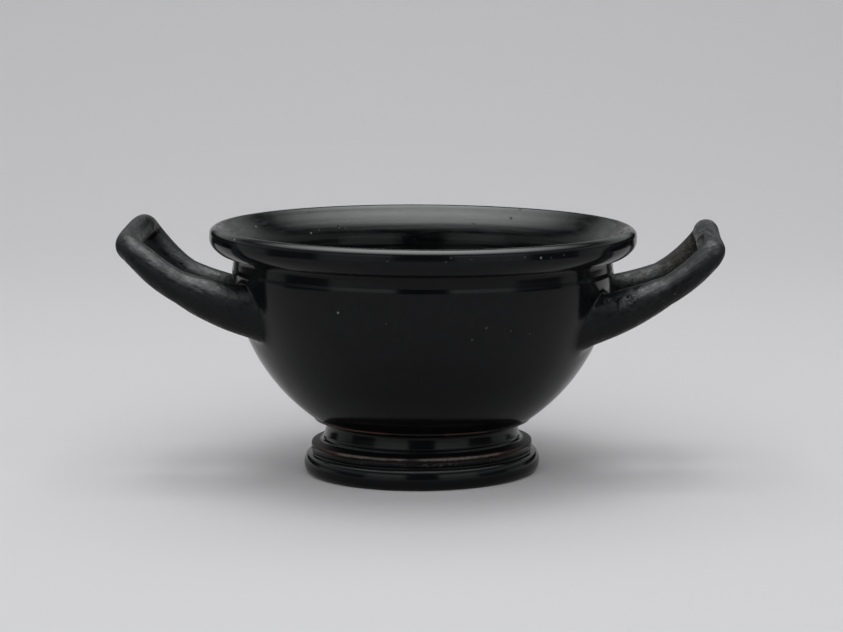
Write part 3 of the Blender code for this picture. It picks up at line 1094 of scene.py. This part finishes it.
def add_surroundings():
    """What the glaze mirrors: a room that is dimmer behind, white cards to both sides of the camera with
    a shelf above them, fainter cards round to the sides, and a soft light overhead."""
    world = bpy.data.worlds.new("studio")
    world.use_nodes = True
    world.cycles_visibility.diffuse = False
    tree = world.node_tree
    place = tree.nodes.new("ShaderNodeTexCoord")
    parts = tree.nodes.new("ShaderNodeSeparateXYZ")
    tree.links.new(place.outputs["Generated"], parts.inputs[0])
    x, y, z = parts.outputs
    azimuth = calc(tree, "DEGREES", calc(tree, "ARCTAN2", x, calc(tree, "MULTIPLY", y, -1.0)))
    side = calc(tree, "ABSOLUTE", azimuth)
    height = calc(tree, "DEGREES", calc(tree, "ARCSINE", z))

    room = product(
        tree,
        ease(tree, side, 20.0, 70.0, ROOM_AHEAD, ROOM_ASIDE),
        ease(tree, side, 115.0, 135.0, 1.0, ROOM_BEHIND_SHARE),
    )
    card_start, card_end = CARD_SIDES
    past_start = ease(tree, side, card_start - 3.0, card_start)
    before_end = ease(tree, side, card_end + 6.0, card_end)
    cards = product(
        tree,
        past_start,
        before_end,
        ease(tree, height, CARD_TOP + 10.0, CARD_TOP),
        CARD_BRIGHTNESS,
    )
    shelf_low, shelf_high = SHELF_HEIGHTS
    shelf = product(
        tree,
        past_start,
        ease(tree, height, shelf_low - 10.0, shelf_low),
        ease(tree, height, shelf_high + 12.0, shelf_high),
        SHELF_BRIGHTNESS,
    )
    side_cards = product(
        tree,
        between(tree, side, *SIDE_CARD_SIDES, 3.0),
        ease(tree, height, SIDE_CARD_TOP + 8.0, SIDE_CARD_TOP),
        SIDE_CARD_BRIGHTNESS,
    )
    strength = total(tree, room, cards, shelf, side_cards, mirrored_lamp(tree, x, y, z, height))
    background = tree.nodes["Background"]
    tree.links.new(strength, background.inputs["Strength"])
    background.inputs["Color"].default_value = (*ROOM_TINT, 1.0)
    bpy.context.scene.world = world


def add_lights():
    """Soft lights that the glaze doesn't mirror, and the surroundings that it does."""
    for name, (place, size, power) in LIGHTS.items():
        add_light(name, place, (0.0, 0.0, 0.02), size, power, False, True)
    add_surroundings()


def add_camera():
    lens = bpy.data.cameras.new("camera")
    lens.lens = CAMERA_LENS
    lens.sensor_width = CAMERA_SENSOR
    lens.clip_start = 0.01
    camera = bpy.data.objects.new("camera", lens)
    bpy.context.scene.collection.objects.link(camera)
    pitch = math.radians(CAMERA_PITCH_DEGREES)
    place = MM * Vector((
        CAMERA_SIDE,
        -CAMERA_DISTANCE * math.cos(pitch),
        CAMERA_AIM_Z + CAMERA_DISTANCE * math.sin(pitch),
    ))
    tilt = Matrix.Rotation(math.pi / 2 - pitch, 4, "X")
    roll = Matrix.Rotation(math.radians(CAMERA_ROLL_DEGREES), 4, "Z")
    camera.matrix_world = Matrix.Translation(place) @ tilt @ roll
    bpy.context.scene.camera = camera


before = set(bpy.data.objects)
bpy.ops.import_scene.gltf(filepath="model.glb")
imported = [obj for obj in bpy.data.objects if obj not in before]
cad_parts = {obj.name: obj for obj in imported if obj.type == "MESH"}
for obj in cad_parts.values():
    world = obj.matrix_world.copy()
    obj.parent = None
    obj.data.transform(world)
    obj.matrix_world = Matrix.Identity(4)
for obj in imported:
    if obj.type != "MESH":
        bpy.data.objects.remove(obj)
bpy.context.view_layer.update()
scene = bpy.context.scene
scene.view_settings.view_transform = "Standard"
vessel = fused_vessel(black_gloss())
mark_inside(vessel.data)
lean(vessel.data)
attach(vessel, "root")
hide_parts("skyphos")
add_floor()
add_lights()
add_camera()
print("triangles", sum(len(face.vertices) - 2 for face in vessel.data.polygons))
